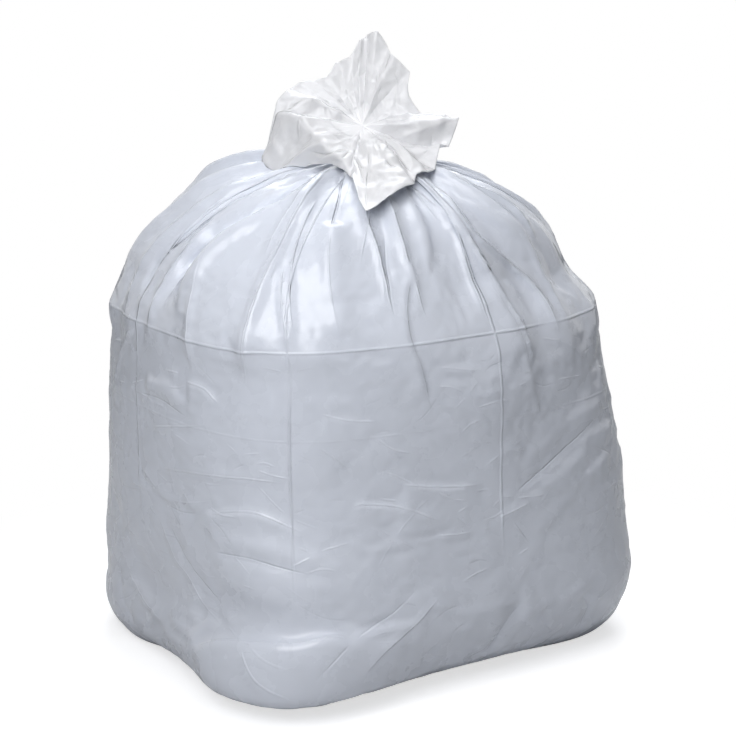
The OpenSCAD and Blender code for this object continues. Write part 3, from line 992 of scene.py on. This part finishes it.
class BAG_OT_fanned_mouth(bpy.types.Operator):
    """Builds the loose mouth of the bag, fanned out above the tie"""
    bl_idname = "bag.fanned_mouth"
    bl_label = "Fanned mouth"

    def execute(self, context):
        finish = context.scene.bag_finish
        columns, rings = 432, 50
        azimuth = np.arange(columns) * 360 / columns
        inner = film_lines(azimuth, rings)
        share = (np.arange(rings + 1) / rings)[:, None]
        radius = np.maximum(np.hypot(inner[..., 0] - NECK[0], inner[..., 1] - NECK[1]), 8)
        chart = azimuth, share[:, 0] * MOUTH_LENGTH, radius
        rng = np.random.default_rng(5)
        lift = cells(inner, 30) * 2.2 + cells(inner + 50, 14) * 0.9 - 1.6
        lift *= unit((share - 0.06) / 0.4)
        fine = new_lines(lift.shape)
        for stroke in MOUTH_FOLDS + creases(rng, 60):
            lay_fold(lift, chart, stroke)
            draw_line(fine, chart, stroke[3:], rng.choice([-1, 1]) * rng.uniform(0.5, 1.2))
        opened = unit(share / 0.3)
        inner = inner + (lift * opened)[..., None] * outward(inner)
        outer = inner - MOUTH_FILM * outward(inner)
        a = np.radians(azimuth)
        start = np.stack([
            NECK[0] + NECK_R * np.cos(a), NECK[1] + NECK_R * np.sin(a), 0 * a + MOUTH_START], -1)
        outer = start + (outer - start) * ease(0, 1, opened)[..., None]
        bottom = np.zeros((1, columns, 3)) + [*NECK, MOUTH_START - 4]
        points = np.concatenate([bottom, outer, inner[::-1]])
        layers = two_layers(fine, new_lines(lift.shape), radius)
        layers = np.concatenate([np.zeros((1, columns, 4)), layers, layers[::-1]])
        down = -np.concatenate([[0], np.arange(rings + 1), np.arange(rings, -1, -1)]) * 2.0
        piece = grid_piece("fanned_mouth", points, down, azimuth / 360, layers)
        film_finish(piece, "loose film", {
            "colour": tuple(finish.mouth_colour), "shade": 0.96,
            "rough": finish.roughness - 0.04, "coat": 0.15, "coat_rough": 0.14,
            "glow": 0.4, "glow_depth": 0.008, "creases": 0, "fine": 0.0009,
            "relief": [
                ("object", (1, 1, 1), 40, "RIDGED_MULTIFRACTAL", 0.0008),
                ("object", (1, 1, 1), 110, "FBM", 0.0005),
            ],
        })
        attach(piece, "root")
        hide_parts("bag")
        return {"FINISHED"}


def aim(seen_from, azimuth, elevation, distance):
    """Puts a lamp or the camera at a bearing from the bag and turns it there."""
    a, e = radians(azimuth), radians(elevation)
    back = Vector((cos(a) * cos(e), sin(a) * cos(e), sin(e)))
    seen_from.location = Vector(TARGET) + back * distance
    seen_from.rotation_mode = "QUATERNION"
    seen_from.rotation_quaternion = (-back).to_track_quat("-Z", "Y")


def floor_material():
    """Pale floor. The camera sees it nearly white, with the bag's shadow, and
    it fades into the white round it."""
    material = bpy.data.materials.new("pale floor")
    material.use_nodes = True
    tree = material.node_tree
    shader = tree.nodes["Principled BSDF"]
    feed(tree, shader, {
        "Base Color": (0.75, 0.75, 0.75, 1), "Roughness": 0.9, "Specular IOR Level": 0.1})
    pale = node(tree, "BsdfDiffuse", -100, -200, {"Color": (0.6, 0.6, 0.61, 1)})
    glow = node(tree, "Emission", -100, -360, {"Strength": 0.66})
    seen = node(tree, "AddShader", 120, -260, {0: pale.outputs[0], 1: glow.outputs[0]})
    white = node(tree, "Emission", 120, -420, {"Strength": 1})
    place = node(tree, "TexCoord", -600, -500).outputs["Object"]
    far = node(tree, "VectorMath", -420, -500, {0: place}, operation="LENGTH").outputs["Value"]
    fade = remap(tree, -240, -500, far, (0.3, 0.6), (0, 1), "SMOOTHSTEP")
    near = node(tree, "MixShader", 300, -300, {
        "Fac": fade, 1: seen.outputs[0], 2: white.outputs[0]})
    rays = node(tree, "LightPath", 120, 200)
    choose = node(tree, "MixShader", 480, 0, {
        "Fac": rays.outputs["Is Camera Ray"], 1: shader.outputs[0], 2: near.outputs[0]})
    out = tree.nodes["Material Output"]
    out.location = (700, 0)
    feed(tree, out, {"Surface": choose.outputs[0]})
    return material


def surround(scene, strength):
    """White where the camera or a reflection looks, softer as a light."""
    world = bpy.data.worlds.new("white surround")
    scene.world = world
    world.use_nodes = True
    tree = world.node_tree
    # The room is lighter on the left of the bag than on its right
    bearing = node(tree, "TexCoord", -900, -200).outputs["Generated"]
    across = node(tree, "VectorMath", -700, -200, operation="DOT_PRODUCT", inputs={
        0: bearing, 1: (-0.87, -0.5, 0.0)}).outputs["Value"]
    level = remap(tree, -500, -200, across, (-0.7, 0.9), (0.2 * strength, 1.8 * strength))
    back = tree.nodes["Background"]
    feed(tree, back, {"Color": (0.98, 0.99, 1.0, 1), "Strength": level})
    white = node(tree, "Background", 0, -200, {"Color": (1, 1, 1, 1), "Strength": 1})
    rays = node(tree, "LightPath", -600, 300).outputs
    glossy = calc(tree, -400, 200, "MAXIMUM", rays["Is Camera Ray"], rays["Is Glossy Ray"])
    clear = calc(tree, -200, 200, "MAXIMUM", glossy, rays["Is Transmission Ray"])
    choose = node(tree, "MixShader", 200, 0, {
        "Fac": clear, 1: back.outputs[0], 2: white.outputs[0]})
    feed(tree, tree.nodes["World Output"], {"Surface": choose.outputs[0]})


class BAG_OT_studio(bpy.types.Operator):
    """Sets the floor, the white surround, the lamps and the camera"""
    bl_idname = "bag.studio"
    bl_label = "Studio"

    def execute(self, context):
        scene = context.scene
        light = scene.bag_studio
        bpy.ops.object.select_all(action="DESELECT")
        bpy.ops.mesh.primitive_plane_add(size=12, location=(0, 0, -0.0006))
        floor = context.object
        floor.name = "studio_floor"
        bpy.ops.object.transform_apply(location=True, rotation=False, scale=False)
        floor.data.materials.append(floor_material())
        surround(scene, light.surround)
        bpy.ops.object.camera_add()
        scene.camera = context.object
        aim(scene.camera, *PHOTO_ANGLE, light.distance)
        scene.camera.data.lens = light.lens
        scene.camera.data.sensor_width = 36
        scene.camera.data.shift_x = -0.0038
        for name, azimuth, elevation, distance, size, power, tint in (
            ("key_lamp", 221, 35, 1.3, 0.8, light.key, (0.985, 0.99, 1.0)),
            ("top_lamp", 285, 79, 2.4, 1.3, light.top, (0.99, 0.99, 1.0)),
            ("back_lamp", 54, 50, 2.4, 1.6, light.fill, (0.94, 0.97, 1.0)),
        ):
            bpy.ops.object.light_add(type="AREA")
            lamp = context.object
            lamp.name = name
            aim(lamp, azimuth, elevation, distance)
            lamp.data.size = size
            lamp.data.energy = power
            lamp.data.color = tint
        scene.view_settings.view_transform = "Standard"
        return {"FINISHED"}


class BAG_PT_panel(bpy.types.Panel):
    bl_idname = "BAG_PT_panel"
    bl_label = "Bin bag"
    bl_space_type = "VIEW_3D"
    bl_region_type = "UI"
    bl_category = "Bin bag"

    def draw(self, context):
        layout = self.layout
        scene = context.scene
        for title, group in (
            ("Film", scene.bag_film), ("Finish", scene.bag_finish), ("Studio", scene.bag_studio)
        ):
            box = layout.box()
            box.label(text=title)
            for name in group.__annotations__:
                box.prop(group, name)
        for step in STEPS:
            layout.operator(step.bl_idname)


GROUPS = (
    ("bag_film", BagFilm),
    ("bag_finish", FilmFinish),
    ("bag_studio", StudioLight),
)
STEPS = (BAG_OT_studio, BAG_OT_filled_body, BAG_OT_fanned_mouth)


def register():
    for name, group in GROUPS:
        bpy.utils.register_class(group)
        setattr(bpy.types.Scene, name, bpy.props.PointerProperty(type=group))
    for step in STEPS:
        bpy.utils.register_class(step)
    bpy.utils.register_class(BAG_PT_panel)


def unregister():
    bpy.utils.unregister_class(BAG_PT_panel)
    for step in reversed(STEPS):
        bpy.utils.unregister_class(step)
    for name, group in reversed(GROUPS):
        delattr(bpy.types.Scene, name)
        bpy.utils.unregister_class(group)


def main():
    register()
    bpy.ops.bag.studio()
    bpy.ops.bag.filled_body()
    bpy.ops.bag.fanned_mouth()
    bpy.context.view_layer.update()


if __name__ == "__main__":
    main()
